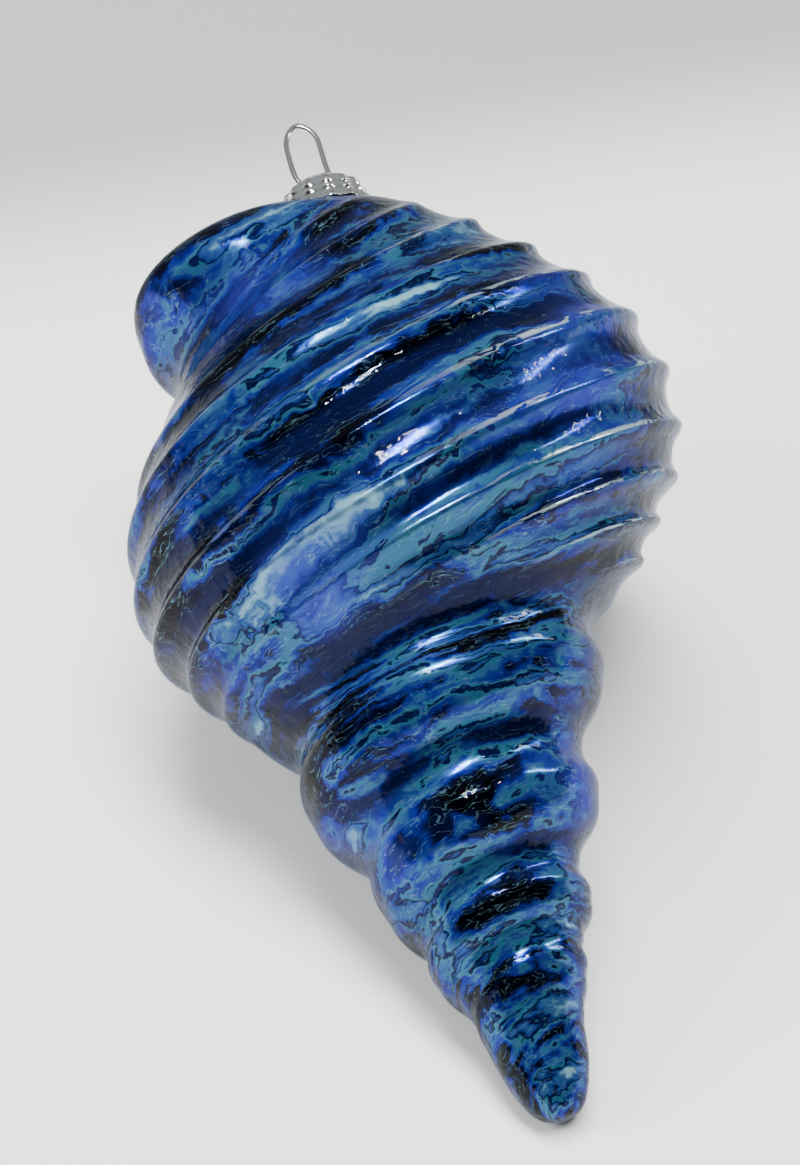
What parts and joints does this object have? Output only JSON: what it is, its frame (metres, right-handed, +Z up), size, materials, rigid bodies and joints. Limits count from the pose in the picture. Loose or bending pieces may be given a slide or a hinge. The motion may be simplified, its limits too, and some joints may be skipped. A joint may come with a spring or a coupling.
{
  "type": "glass tree ornament in the form of a seashell",
  "caption": "Hand-blown glass tree ornament shaped as a high-spired ribbed sea snail shell with a flared lip, with a fluted metal crown cap and a wire hanging loop, lying on its side",
  "frame": {"origin": "centre of the bounding box's footprint, on the table that the ornament lies on", "axes": "+Z up; +Y from the tip of the spire towards the capped neck; +X to the right of a viewer behind the tip, and the flared lip is on the -X side"},
  "size_m": [0.089, 0.151, 0.0851],
  "materials": {
    "silvered_glass": "glossy clear glass over marbled blue lacquer and silvering, so it is opaque",
    "cap_metal": "bright silver-plated sheet",
    "loop_wire": "bright drawn wire"
  },
  "bodies": {
    "root": {"glass_shell": "silvered_glass", "crown_cap": "cap_metal", "hanging_loop": "loop_wire"}
  },
  "joints": []
}
